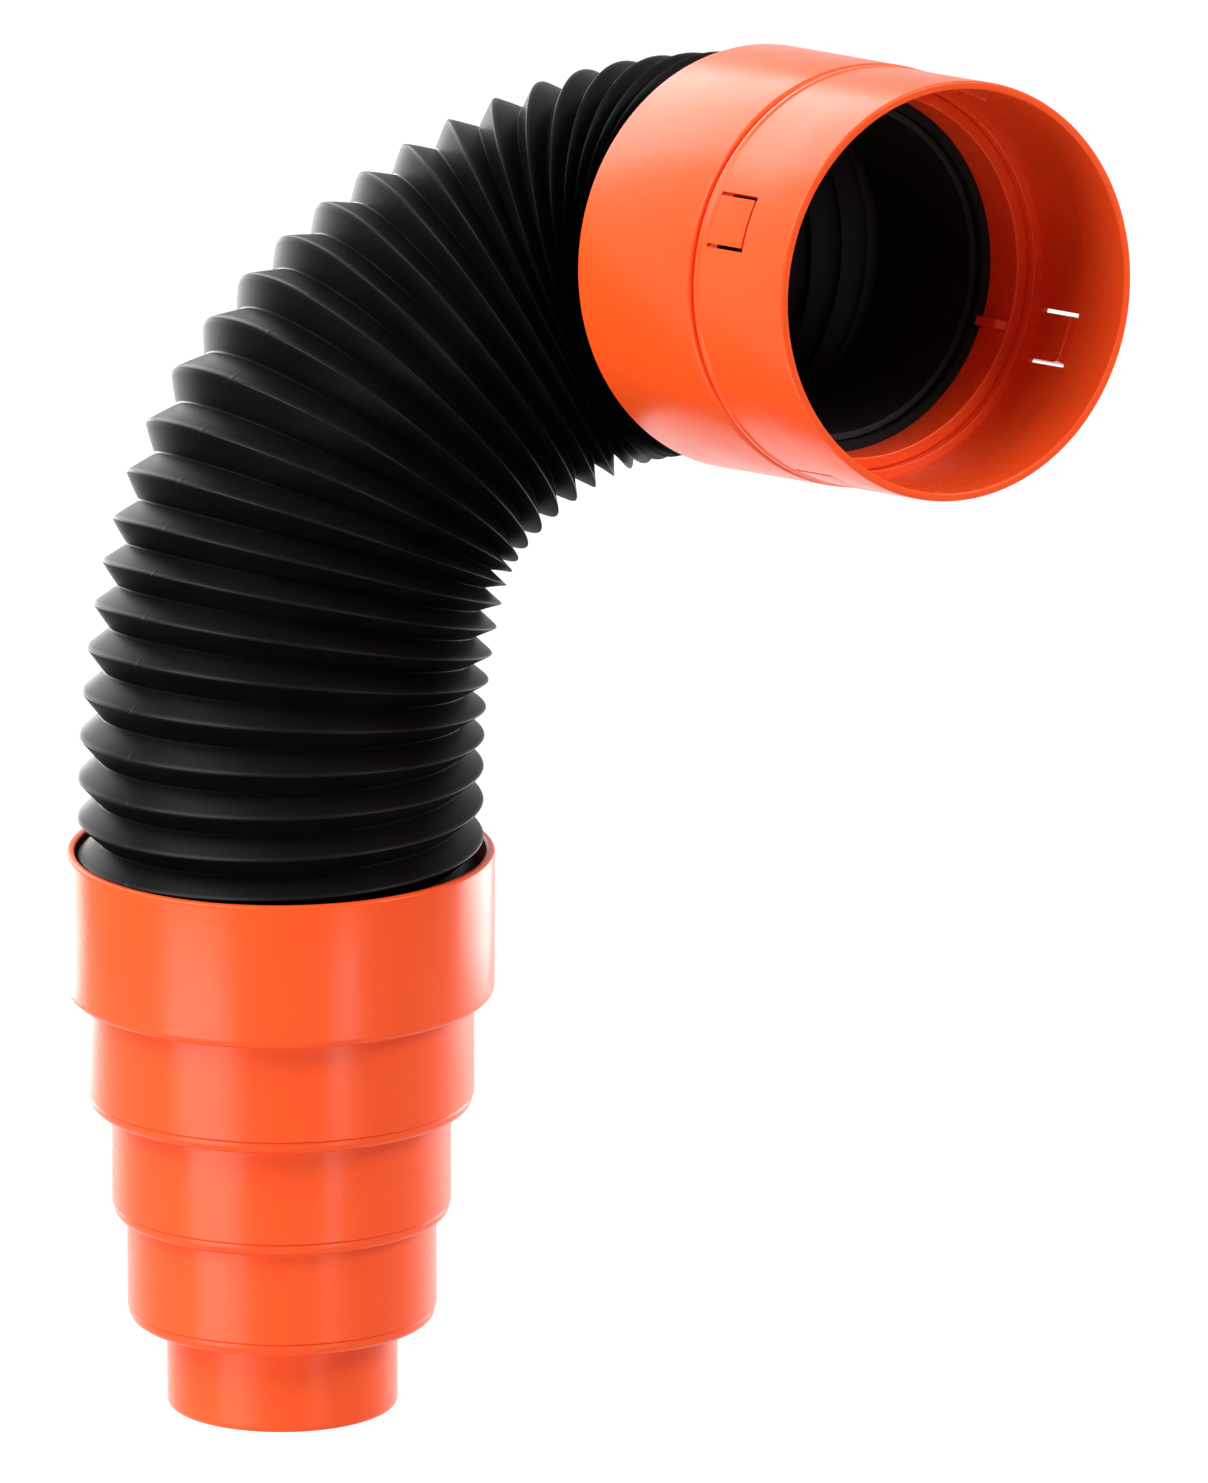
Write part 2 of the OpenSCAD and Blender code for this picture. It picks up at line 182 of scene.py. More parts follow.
softbox("Lamp_low_left", -50, -23, 0.62, 0.34, 0.24, 1.9)
softbox("Lamp_low_right", 31, -23, 0.62, 0.11, 0.24, 0.62)
softbox("Lamp_edge_left", -148, -10, 1.0, 0.7, 0.38, 4.6)
softbox("Lamp_edge_right", 134, -10, 1.0, 0.7, 0.38, 7.0)
softbox("Lamp_back_left", -150, 28, 1.0, 0.7, 0.8, 7.5)
softbox("Lamp_high_left", -68, 46, 1.8, 1.5, 1.2, 50.0)
softbox("Lamp_high_right", 70, 38, 1.8, 0.8, 0.8, 25.0)

# %% [markdown]
# ## The hose's route
#
# The hose rises straight out of the cup, leans over sideways and swings round into the coupling, as a
# hose does that is held at both ends. Its axis is a uniform cubic B-spline: a few guide points draw a
# smooth curve towards them. Three guides in a row on each end's own axis make the curve start in the
# middle one and leave along that axis. The place u on the curve counts guides.
# The ribs are evenly spaced in u, so they stand closer together where the guides do, which is near
# the coupling, where the hose is pushed together. A Blender curve could carry a profile too, but here
# the model and the surface have to share one exact route.

# %% Route
MM = 0.001
BEND_ANGLE = np.radians(83)
UP, OUT = np.array([0, 0, 1.0]), np.array([np.sin(BEND_ANGLE), 0, np.cos(BEND_ANGLE)])
RIM, BEND_END = np.array([0, 0, 127.5]), np.array([58.5, 91.3, 261.6])
BEND_GUIDES = [[-1.5, 6, 186.5], [-2.5, 16.5, 212.5], [-1, 40.5, 233], [7, 67, 248.5], [25.5, 84.5, 256.5]]
RIBS_PER_GUIDE = 3.62
LOW_GAP, TOP_GAP = 8.67 * RIBS_PER_GUIDE, 3.73 * RIBS_PER_GUIDE
SLEEVE_INSET = 6
guides = np.vstack([RIM - LOW_GAP * UP, RIM, RIM + LOW_GAP * UP, BEND_GUIDES,
                    BEND_END - TOP_GAP * OUT, BEND_END, BEND_END + TOP_GAP * OUT])
BEND_N = len(guides) - 3


def weighted(u, weights):
    """Sum of the four guides round u, each times its weight. weights is a function of f, the part
    of u past a whole number."""
    i = np.clip(np.floor(u), 0, BEND_N - 1).astype(int)
    f = np.clip(u, 0, BEND_N) - i
    return sum(w[..., None] * guides[i + k] for k, w in enumerate(weights(f)))


def centre(u):
    """Point of the axis at u, in mm. In the bend the four guides weigh g^3, 4 - 6 f^2 + 3 f^3,
    4 - 6 g^2 + 3 g^3 and f^3, all over 6, with g = 1 - f. Outside it the axis runs straight on."""
    bend = weighted(u, lambda f: [(1 - f) ** 3, 4 - 6 * f ** 2 + 3 * f ** 3,
                                  4 - 6 * (1 - f) ** 2 + 3 * (1 - f) ** 3, f ** 3]) / 6
    below, beyond = np.minimum(u, 0) * LOW_GAP, np.maximum(u - BEND_N, 0) * TOP_GAP
    return bend + below[..., None] * UP + beyond[..., None] * OUT


def directions(u):
    """Three unit vectors at u: along is the slope of centre, across is square to it and to the y
    axis, and aside is square to both."""
    slope = weighted(u, lambda f: [-(1 - f) ** 2, 3 * f ** 2 - 4 * f, 1 + 2 * f - 3 * f ** 2, f ** 2])
    along = slope / np.linalg.norm(slope, axis=-1, keepdims=True)
    across = np.stack([along[..., 2], 0 * along[..., 0], -along[..., 0]], -1)
    across = across / np.linalg.norm(across, axis=-1, keepdims=True)
    return along, across, np.cross(along, across)


sleeve_rear = BEND_END - SLEEVE_INSET * OUT
COUPLING = Matrix.Translation(Vector(sleeve_rear) * MM) @ Matrix.Rotation(BEND_ANGLE, 4, "Y")
steps = centre(np.linspace(0, BEND_N, 801))
print("bend:", np.linalg.norm(np.diff(steps, axis=0), axis=1).sum().round(1), "mm long,",
      "sleeve's rear edge at", sleeve_rear.round(2), "mm")

# %% [markdown]
# ## Helpers for meshes
#
# A turned piece is a closed loop of radius and height points that is carried round the axis, so it
# needs the loop alone. Moulded edges are never sharp, so a second helper rounds the loop's
# corners, each with its own radius. The loop runs upwards on the outside, which makes every face
# point outwards.

# %% Mesh helpers
def make_mesh(name, points, faces, smooth_angle=35):
    """Object from points in metres and faces of indices, smooth except at edges sharper than
    smooth_angle degrees."""
    mesh = bpy.data.meshes.new(name)
    mesh.from_pydata(np.asarray(points).tolist(), [], faces)
    mesh.validate()
    mesh.polygons.foreach_set("use_smooth", np.ones(len(mesh.polygons), bool))
    mesh.set_sharp_from_angle(angle=np.radians(smooth_angle))
    o = bpy.data.objects.new(name, mesh)
    scene.collection.objects.link(o)
    return o


def rounded(corners, pieces=6):
    """Loop of [radius, height, rounding] corners, where a rounding may be left out. An arc of
    radius q touches both sides of its corner at q / tan(half the corner's angle) from it."""
    c = np.array([p[:2] for p in corners], float)
    q = [p[2] if len(p) > 2 else 0 for p in corners]
    loop = []
    for k in range(len(c)):
        u, v = c[k - 1] - c[k], c[(k + 1) % len(c)] - c[k]
        if q[k] == 0:
            loop.append(c[k])
            continue
        u, v = u / np.linalg.norm(u), v / np.linalg.norm(v)
        half = np.arccos(np.clip(u @ v, -1, 1)) / 2
        hub = c[k] + (u + v) / np.linalg.norm(u + v) * q[k] / np.sin(half)
        a = c[k] + u * q[k] / np.tan(half) - hub
        b = c[k] + v * q[k] / np.tan(half) - hub
        w = np.arctan2(a[0] * b[1] - a[1] * b[0], a @ b) * np.linspace(0, 1, pieces + 1)
        cos, sin = np.cos(w), np.sin(w)
        loop.extend(hub + np.stack([a[0] * cos - a[1] * sin, a[0] * sin + a[1] * cos], -1))
    return np.array(loop)


def round_axis(loop, angles, place):
    """Loop point (r, z) in mm at each angle w: place applied to (r cos w, r sin w, z) / 1000."""
    r, z = loop[:, 0][:, None] * MM, loop[:, 1][:, None] * MM
    points = np.stack([r * np.cos(angles), r * np.sin(angles), z + 0 * angles], -1).reshape(-1, 3)
    return points @ np.array(place.to_3x3()).T + np.array(place.translation)


def quads(a, b, c, d):
    """Faces from four arrays of indices, corner by corner."""
    return np.stack([a, b, c, d], -1).reshape(-1, 4).tolist()


UPRIGHT = Matrix.Identity(4)


def turned(name, loop, place=UPRIGHT, sides=192):
    """Surface of revolution of a closed loop."""
    n = len(loop)
    i, j = np.meshgrid(np.arange(n), np.arange(sides), indexing="ij")
    i2, j2 = (i + 1) % n, (j + 1) % sides
    points = round_axis(loop, 2 * np.pi * np.arange(sides) / sides, place)
    return make_mesh(name, points, quads(i * sides + j, i * sides + j2, i2 * sides + j2, i2 * sides + j))


def sectors(name, loop, middles, width, place, steps=12):
    """Loop turned only width degrees round each of the middles, with flat ends."""
    n, m = len(loop), steps + 1
    points, faces = [], []
    for middle in middles:
        base = len(points) * n * m
        w = np.radians(middle + width * np.linspace(-0.5, 0.5, m))
        i, j = np.meshgrid(np.arange(n), np.arange(steps), indexing="ij")
        i2 = (i + 1) % n
        points.append(round_axis(loop, w, place))
        low, high = base + i * m + j, base + i2 * m + j
        faces += quads(low, low + 1, high + 1, high)
        end = base + m * np.arange(n)
        faces += [end.tolist(), (end + steps)[::-1].tolist()]
    return make_mesh(name, np.vstack(points), faces)


# %% [markdown]
# ## Helpers for finishes
#
# Every finish is a Principled shader whose colour, roughness and fine relief vary a little. The
# patterns are noise on Object coordinates, with their scale in cycles per metre, so they have a
# true size and run on from piece to piece.

# %% Finish helpers
def noise(tree, coordinates, scale, detail):
    """Value of a noise texture with scale in cycles per metre."""
    node = tree.nodes.new("ShaderNodeTexNoise")
    node.inputs["Scale"].default_value = scale
    node.inputs["Detail"].default_value = detail
    tree.links.new(coordinates, node.inputs["Vector"])
    return node.outputs["Fac"]


def own_number(tree, name):
    """Value that the mesh itself carries at its points, by its name."""
    node = tree.nodes.new("ShaderNodeAttribute")
    node.attribute_name = name
    return node.outputs["Fac"]


def spread(tree, value, low, high, start=0.3, end=0.7):
    """Takes start to end, where noise mostly lies, to low to high."""
    m = tree.nodes.new("ShaderNodeMapRange")
    m.inputs["From Min"].default_value = start
    m.inputs["From Max"].default_value = end
    m.inputs["To Min"].default_value = low
    m.inputs["To Max"].default_value = high
    tree.links.new(value, m.inputs["Value"])
    return m.outputs["Result"]


def two_tone(tree, factor, first, second):
    """Colour between first and second by factor."""
    m = tree.nodes.new("ShaderNodeMix")
    m.data_type = "RGBA"
    m.inputs["A"].default_value = (*first, 1)
    m.inputs["B"].default_value = (*second, 1)
    tree.links.new(factor, m.inputs["Factor"])
    return m.outputs["Result"]


def relief(tree, shader, height, depth):
    """Bump of the given depth in metres where height goes from 0 to 1."""
    b = tree.nodes.new("ShaderNodeBump")
    b.inputs["Strength"].default_value = 1.0
    b.inputs["Distance"].default_value = depth
    tree.links.new(height, b.inputs["Height"])
    tree.links.new(b.outputs["Normal"], shader.inputs["Normal"])


def new_finish(name):
    """Material, its node tree, its Principled shader and its Object coordinates."""
    finish = bpy.data.materials.new(name)
    finish.use_nodes = True
    tree = finish.node_tree
    where = tree.nodes.new("ShaderNodeTexCoord").outputs["Object"]
    return finish, tree, tree.nodes["Principled BSDF"], where


# %% [markdown]
# ## Orange moulded plastic
#
# The adapter and the coupling are injection moulded in a saturated orange with an even satin gloss.
# Such plastic flows into its mould in slightly lighter and darker bands. Its skin has a very fine
# eggshell relief and a slow waviness that softens reflections, and handling leaves patches that are
# a little glossier. The colour is kept deep, since the gloss adds white of its own.

# %% Orange plastic
DARK_ORANGE, LIGHT_ORANGE = (0.84, 0.077, 0.011), (0.88, 0.084, 0.013)

orange, tree, shader, where = new_finish("Orange_plastic")
flow = spread(tree, noise(tree, where, 22, 2), 0, 1)
tree.links.new(two_tone(tree, flow, DARK_ORANGE, LIGHT_ORANGE), shader.inputs["Base Color"])
patches = noise(tree, where, 55, 3)
tree.links.new(spread(tree, patches, 0.25, 0.32), shader.inputs["Roughness"])
eggshell = maths(tree, "MULTIPLY", noise(tree, where, 1500, 2), 0.03)
relief(tree, shader, maths(tree, "ADD", noise(tree, where, 90, 2), eggshell), 0.00006)
shader.inputs["IOR"].default_value = 1.5
shader.inputs["Specular IOR Level"].default_value = 0.19
print("finish:", orange.name)

# %% [markdown]
# ## Black hose plastic
#
# The hose wall is a soft black plastic, almost dull on its flanks. Its gloss follows which way the
# wall faces: where it faces up it is glossier, most of all at the crests, and where it faces down it is
# nearly dull. This is painted shade, which makes the undersides look shaded; the crests are also rubbed
# a little smoother. The thin fold in each valley is glossy from the mould, so it draws a pale line. The
# hose mesh carries two numbers that the gloss follows: crest is 0 in a valley and 1 on a crest, and
# upper is 1 where the wall faces up and 0 where it faces down.
# Such a hose is formed between two rows of half moulds, which meet in a fine line on either
# side. A third number, parting, is 0 on those lines, and the relief there follows it.

# %% Hose plastic
DARK_HOSE, LIGHT_HOSE = (0.0020, 0.0020, 0.0022), (0.0036, 0.0036, 0.0040)

hose_black, tree, shader, where = new_finish("Hose_plastic")
shade = spread(tree, noise(tree, where, 60, 4), 0, 1)
tree.links.new(two_tone(tree, shade, DARK_HOSE, LIGHT_HOSE), shader.inputs["Base Color"])
rib_place, facing_up = own_number(tree, "crest"), own_number(tree, "upper")
# Painted shade: the gloss is multiplied by facing_up, so the sides that face down lose it and look shaded.
crest_wear_and_painted_shade = maths(tree, "MULTIPLY", spread(tree, rib_place, 0.14, 0.36, 0.85, 0.97), facing_up)
in_valley = spread(tree, rib_place, 1, 0, 0, 0.06)
gloss = maths(tree, "MAXIMUM", crest_wear_and_painted_shade, in_valley)
tree.links.new(spread(tree, gloss, 0.40, 0.26, 0, 1), shader.inputs["Roughness"])
tree.links.new(spread(tree, gloss, 0.004, 0.26, 0, 1), shader.inputs["Specular IOR Level"])
off_line = maths(tree, "ABSOLUTE", own_number(tree, "parting"))
line = spread(tree, off_line, 1, 0, 0, 0.012)
raised = maths(tree, "MULTIPLY", line, spread(tree, rib_place, 0, 1, 0.5, 1))
grain = maths(tree, "MULTIPLY", noise(tree, where, 800, 3), 0.35)
relief(tree, shader, maths(tree, "ADD", raised, grain), 0.00007)
print("finish:", hose_black.name)

# %% [markdown]
# ## Liner plastic
#
# The liners stiffen the hose's ends from inside. They are moulded in a hard black plastic that is
# smoother than the hose and has hardly any grain.

# %% Liner plastic
DARK_LINER, LIGHT_LINER = (0.009, 0.009, 0.010), (0.014, 0.014, 0.015)

liner_black, tree, shader, where = new_finish("Liner_plastic")
shade = spread(tree, noise(tree, where, 70, 3), 0, 1)
tree.links.new(two_tone(tree, shade, DARK_LINER, LIGHT_LINER), shader.inputs["Base Color"])
tree.links.new(spread(tree, noise(tree, where, 300, 3), 0.30, 0.42), shader.inputs["Roughness"])
relief(tree, shader, noise(tree, where, 900, 2), 0.00002)
shader.inputs["Specular IOR Level"].default_value = 0.25
print("finish:", liner_black.name)

# %% [markdown]
# ## Seal rubber
#
# Rubber seals are nearly black and dull. With time a paler bloom comes up in patches, which is a
# little rougher than the rubber, so colour and roughness follow the same noise.

# %% Seal rubber
DARK_RUBBER, BLOOM = (0.0015, 0.0015, 0.0015), (0.0045, 0.0044, 0.0042)

seal_black, tree, shader, where = new_finish("Seal_rubber")
bloom = spread(tree, noise(tree, where, 180, 4), 0, 1, 0.4, 0.75)
tree.links.new(two_tone(tree, bloom, DARK_RUBBER, BLOOM), shader.inputs["Base Color"])
tree.links.new(spread(tree, bloom, 0.55, 0.75, 0, 1), shader.inputs["Roughness"])
relief(tree, shader, noise(tree, where, 1400, 2), 0.00003)
shader.inputs["Specular IOR Level"].default_value = 0.15
print("finish:", seal_black.name)

# %% [markdown]
# ## Spring steel
#
# The two clips are bent from bright spring wire. Drawing the wire leaves fine lines, which are a
# noise pressed together twelve times along one direction.

# %% Spring steel
DARK_STEEL, BRIGHT_STEEL = (0.50, 0.51, 0.53), (0.62, 0.63, 0.65)

steel, tree, shader, where = new_finish("Spring_steel")
pressed = tree.nodes.new("ShaderNodeMapping")
pressed.inputs["Scale"].default_value = (1, 1, 12)
tree.links.new(where, pressed.inputs["Vector"])
drawn = noise(tree, pressed.outputs["Vector"], 400, 3)
lines = spread(tree, drawn, 0, 1)
tree.links.new(two_tone(tree, lines, DARK_STEEL, BRIGHT_STEEL), shader.inputs["Base Color"])
tree.links.new(spread(tree, drawn, 0.22, 0.36), shader.inputs["Roughness"])
relief(tree, shader, drawn, 0.00001)
shader.inputs["Metallic"].default_value = 1.0
print("finish:", steel.name)

# %% [markdown]
# ## The ribbed hose
#
# A wound hose has one rib that climbs like a screw thread, so its surface is a function of two
# numbers: the angle round the hose and the place between one crest and the next. Rows of the grid
# follow the thread, so crest and valley stay crisp. With each point go the numbers that the finish
# reads.

# %% Points of the hose
CUFF_R, VALLEY_R, CREST_R, WALL, THINNED = 39.5, 40.5, 45.0, 1.2, 1.7
TURNS, SIDES = 33, 96
CUP_DEPTH, HOSE_TOP_Z, PLAIN_END = 26.9, 32.0, 4.0
U_LOW, U_HIGH = -CUP_DEPTH / LOW_GAP, BEND_N + (HOSE_TOP_Z - SLEEVE_INSET) / TOP_GAP
RIB_LOW = U_LOW + PLAIN_END / LOW_GAP
RIB_HIGH = RIB_LOW + TURNS / RIBS_PER_GUIDE
PHASE, PARTING = np.radians(243), np.radians(-83)
# places in a pitch, from the valley over the crest, closer together where the wall bends
PLACES = np.array([0, 0.03, 0.13, 0.28, 0.40, 0.45, 0.478, 0.5, 0.522, 0.55, 0.60, 0.72, 0.87, 0.97])
K = len(PLACES)


def rib_height(t, tip=0.05):
    """0 in the valley (t = 0 or 1) and 1 on the crest (t = 0.5): straight flanks whose meeting
    point is rounded, 1 - (sqrt(x^2 + tip^2) - tip) / (sqrt(1 + tip^2) - tip) with x = |2 t - 1|."""
    x = np.abs(2 * t - 1)
    return 1 - (np.sqrt(x * x + tip * tip) - tip) / (np.sqrt(1 + tip * tip) - tip)


def hose_points(inset):
    """Grid of the hose wall set in by inset, with the plain rings first and last, in mm. Over the
    first and last turn the ribs grow from the plain ends, and the stretched bend is thinner by up
    to THINNED, times sin(180 u / BEND_N)^2. The number upper is 0.5 + 1.2 times the height of the
    unit normal, which is out on a crest or in a valley and (out +- along) / sqrt(2) on a flank."""
    rows = (TURNS - 1) * K
    i, j = np.meshgrid(np.arange(rows + 1), np.arange(SIDES), indexing="ij")
    i = np.concatenate([i.ravel(), rows + 1 + np.arange(K)])
    j = np.concatenate([j.ravel(), np.zeros(K, int)])
    t = PLACES[i % K]
    u = RIB_LOW + (i // K + t + j / SIDES) / RIBS_PER_GUIDE
    share = np.clip(np.minimum(u - RIB_LOW, RIB_HIGH - u) * RIBS_PER_GUIDE, 0, 1)
    crest = rib_height(t)
    r = CUFF_R + (VALLEY_R + (CREST_R - VALLEY_R) * crest - CUFF_R) * share
    r -= THINNED * np.sin(np.pi * np.clip(u / BEND_N, 0, 1)) ** 2
    ring = np.arange(SIDES)
    u = np.concatenate([np.full(SIDES, U_LOW), u, np.full(SIDES, U_HIGH)])
    r = np.concatenate([np.full(SIDES, CUFF_R), r, np.full(SIDES, CUFF_R)]) - inset
    crest = np.concatenate([np.zeros(SIDES), crest * share, np.zeros(SIDES)])
    side = np.concatenate([np.zeros(SIDES), np.where(t > 0, np.sign(t - 0.5), 0), np.zeros(SIDES)])
    w = 2 * np.pi * np.concatenate([ring, j, ring]) / SIDES + PHASE
    along, across, aside = directions(u)
    out = np.cos(w)[:, None] * across + np.sin(w)[:, None] * aside
    facing = (out + side[:, None] * along)[:, 2] / np.sqrt(1 + side ** 2)
    # upper carries painted shade: the finish takes the gloss off where it is low, so the sides that face
    # down look shaded.
    upper = np.clip(0.5 + 1.2 * facing, 0, 1)
    return centre(u) + r[:, None] * out, crest, upper, np.sin(w - PARTING), rows


outer, crest, upper, parting, rows = hose_points(0)
print("hose:", TURNS, "turns of the rib,", len(outer), "points on the outside")

# %% [markdown]
# ## Faces of the hose
#
# After one turn the grid meets itself one pitch higher, so its last column is joined to the first
# column, K rows up. At both ends a fan of triangles joins the thread's start to a plain ring.

# %% Faces of the hose
def hose_faces(rows):
    """Faces of one surface, outwards. Grid point (i, SIDES) is point (i + K, 0), one pitch higher."""
    first, last = SIDES, SIDES + (rows + 1) * SIDES

    def grid(i, j):
        wrap = j == SIDES
        i, j = np.where(wrap, i + K, i), np.where(wrap, 0, j)
        return np.where(i <= rows, first + i * SIDES + j, last + i - rows - 1)

    def point(i, j):
        return int(grid(np.array(i), np.array(j)))

    i, j = np.meshgrid(np.arange(rows), np.arange(SIDES), indexing="ij")
    faces = quads(grid(i, j), grid(i, j + 1), grid(i + 1, j + 1), grid(i + 1, j))
    low, high = np.arange(SIDES), last + K + np.arange(SIDES)
    j, k = np.arange(SIDES - 1), np.arange(K)
    start, end = 0 * j, 0 * j + rows
    faces += quads(low[:-1], low[1:], grid(start, j + 1), grid(start, j))
    faces += quads(grid(end, j + 1), grid(end, j + 2), high[(j + 2) % SIDES], high[j + 1])
    tip = np.full(K, point(0, SIDES - 1))
    faces += np.stack([grid(k, 0 * k), tip, grid(k + 1, 0 * k)], -1).tolist()
    faces.append([int(low[-1]), int(low[0]), point(0, 0), point(0, SIDES - 1)])
    tip = np.full(K, point(rows, 1))
    faces += np.stack([grid(rows + k, 0 * k), tip, grid(rows + k + 1, 0 * k)], -1).tolist()
    faces.append([point(rows + K, 0), point(rows, 1), int(high[1]), int(high[0])])
    return faces, last + K + SIDES


faces, count = hose_faces(rows)
print("hose:", len(faces), "faces on the outside")

# %% [markdown]
# ## The hose's wall
#
# The wall's inside is the same grid again, set in by its thickness and turned inside out, and two
# flat rings join them at the ends. When the coupling swings, the real hose bends between the cup and
# the sleeve; this mesh is attached to no body.

# %% Hose wall
inner = hose_points(WALL)[0]
ring = np.arange(SIDES)
after = (ring + 1) % SIDES
top, top_after = count - SIDES + ring, count - SIDES + after
inside = [[f[0] + count] + [v + count for v in f[:0:-1]] for f in faces]
low_end = quads(ring, ring + count, after + count, after)
high_end = quads(top, top_after, top_after + count, top + count)
hose = make_mesh("Hose_wall", np.vstack([outer, inner]) * MM, faces + inside + low_end + high_end, 60)
for name, values, inner_value in (("crest", crest, 0.95), ("upper", upper, 1), ("parting", parting, 1)):
    numbers = hose.data.attributes.new(name, "FLOAT", "POINT")
    both = np.concatenate([values, np.full(count, inner_value)])
    numbers.data.foreach_set("value", both.astype(np.float32))
hose.data.materials.append(hose_black)
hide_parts("ribbed_hose")
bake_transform(hose)
print("hose:", len(hose.data.polygons), "faces")

# %% [markdown]
# ## The stepped adapter
#
# The adapter is a stack of reducers, one inside the next. Each has a rounded flange that closes the
# step above, a tube below it, and a spigot with a seal ring that pushes up into the piece above.
# The flange is a little smaller than the tube above, and both meeting edges are rounded, so a fine
# dark line runs round where they meet. One function makes all three from their radii.

# %% Adapter
WALL_T, FLANGE_H, SPIGOT_H, BAND_IN, SLIP, SEAL_W = 2.5, 3.0, 9.0, 0.4, 0.1, 1.7
SPIGOT_T, GROOVE_WALL_T = 4.0, 1.2
OUTLET_R, LOW_R, MID_R, TOP_R, CUP_R = 25.6, 34.3, 37.6, 42.8, 47.5
LOW_Z, MID_Z, TOP_Z, CUP_Z = 20.0, 44.0, 69.0, 94.5
LOWER_EDGE, MEETING_EDGE, INNER_EDGE = 2.0, 0.3, 0.5


def orange_piece(piece, node, body):
    """Paints a piece orange, lets it stand for its CAD node and makes it move with the body."""
    piece.data.materials.append(orange)
    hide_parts(node)
    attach(piece, body)


def reducer(name, node, upper_r, tube_r, z, tube_bottom, end_edge):
    """Piece turned from a loop that climbs from the tube's lower end past the flange and the grooved
    spigot and goes back down the bore."""
    flange_r = upper_r - BAND_IN
    spigot_r = upper_r - WALL_T - SLIP
    bore_r = tube_r - WALL_T
    spigot_bore_r = min(spigot_r - SEAL_W - GROOVE_WALL_T, max(bore_r, spigot_r - SPIGOT_T))
    groove_r = upper_r - WALL_T - SEAL_W
    groove_z = z + FLANGE_H + (SPIGOT_H - SEAL_W) / 2
    top = z + FLANGE_H + SPIGOT_H
    loop = rounded([
        [bore_r, tube_bottom, 0.3], [tube_r, tube_bottom, end_edge], [tube_r, z, INNER_EDGE],
        [flange_r, z, LOWER_EDGE], [flange_r, z + FLANGE_H, MEETING_EDGE], [spigot_r, z + FLANGE_H],
        [spigot_r, groove_z], [groove_r, groove_z],
        [groove_r, groove_z + SEAL_W], [spigot_r, groove_z + SEAL_W],
        [spigot_r, top, 0.5], [spigot_bore_r, top, 0.5],
        [spigot_bore_r, z + FLANGE_H], [bore_r, z + FLANGE_H - 1]])
    orange_piece(turned(name, loop), node, "adapter")


reducer("Upper_reducer_body", "upper_reducer", TOP_R, MID_R, TOP_Z, MID_Z + FLANGE_H, MEETING_EDGE)
reducer("Lower_reducer_body", "lower_reducer", MID_R, LOW_R, MID_Z, LOW_Z + FLANGE_H, MEETING_EDGE)
reducer("Outlet_body", "outlet_spigot", LOW_R, OUTLET_R, LOW_Z, 0, 1.5)
print("adapter steps:", [2 * r for r in (OUTLET_R, LOW_R, MID_R, TOP_R)], "mm across")

# %% [markdown]
# ## The cup
#
# The top step widens into the cup that the hose stands in. The cup's wall leans out by a fraction of
# a millimetre, as a moulded wall does so that it leaves its mould, and its rim is round. A groove
# inside holds the spring clip.

# %% Cup
CUP_BORE_R, FLOOR_IN = CUP_R - 2.0, CUP_Z + WALL_T
CLIP_LOW, CLIP_HIGH, CLIP_GROOVE_DEPTH = 100.7, 102.1, 0.9

cup = turned("Hose_cup", rounded([
    [TOP_R - WALL_T, TOP_Z + FLANGE_H], [TOP_R, TOP_Z + FLANGE_H, MEETING_EDGE], [TOP_R, CUP_Z, INNER_EDGE],
    [CUP_R - 0.2, CUP_Z, LOWER_EDGE], [CUP_R, RIM[2], 0.8], [CUP_BORE_R, RIM[2], 0.7],
    [CUP_BORE_R, CLIP_HIGH], [CUP_BORE_R + CLIP_GROOVE_DEPTH, CLIP_HIGH],
    [CUP_BORE_R + CLIP_GROOVE_DEPTH, CLIP_LOW], [CUP_BORE_R, CLIP_LOW], [CUP_BORE_R, FLOOR_IN, INNER_EDGE],
    [TOP_R - WALL_T, FLOOR_IN, INNER_EDGE]]))
orange_piece(cup, "hose_socket", "adapter")
print("cup bore:", 2 * CUP_BORE_R, "mm")

# %% [markdown]
# ## The coupling's sleeve
#
# The sleeve covers the hose's end. It is turned like the adapter and laid along the hose's last
# direction. Its front edge is rounded, which draws the joint line towards the collar, and a groove
# in its bore holds the clip that the collar turns on.

# %% Sleeve
SLEEVE_R, SLEEVE_BORE_R, SLEEVE_REAR_R, SLEEVE_LEN = 46.9, 45.3, 45.8, 44.0
SWIVEL_LOW, SWIVEL_HIGH, INSERT_Z = 32.0, 33.6, 15.0
swivel_groove_r = SLEEVE_BORE_R + 0.8

sleeve = turned("Sleeve", rounded([
    [SLEEVE_REAR_R, 0, 0.3], [SLEEVE_R + 0.2, 0, 0.8],
    [SLEEVE_R, SLEEVE_LEN, 0.9], [SLEEVE_BORE_R, SLEEVE_LEN, 0.15],
    [SLEEVE_BORE_R, SWIVEL_HIGH], [swivel_groove_r, SWIVEL_HIGH],
    [swivel_groove_r, SWIVEL_LOW], [SLEEVE_BORE_R, SWIVEL_LOW],
    [SLEEVE_BORE_R, INSERT_Z], [SLEEVE_REAR_R, INSERT_Z - 1]]), COUPLING)
orange_piece(sleeve, "coupling_sleeve", "coupling")
print("sleeve:", SLEEVE_LEN, "mm long")

# %% [markdown]
# ## The insert and its keys
#
# The insert stands inside the sleeve. Its front face stops the pipe, and two keys behind the face
# keep it from turning on the hose. A key is the same kind of loop as the rings, turned through only
# a few degrees.

# %% Insert and keys
INSERT_R, INSERT_BORE_R, INSERT_T, COUPLING_LEN = 43.0, 40.2, 1.6, 79.6
WEB_LOW, WEB_HIGH, NOSE_Z = 20.0, 23.0, SLEEVE_LEN - 5
KEY_H, KEY_W, TAB_TURN = 2.2, 2.8, 65.0
tube_r = INSERT_BORE_R + INSERT_T
groove_r = INSERT_R - SEAL_W + 0.03
groove_z = NOSE_Z + 1.7

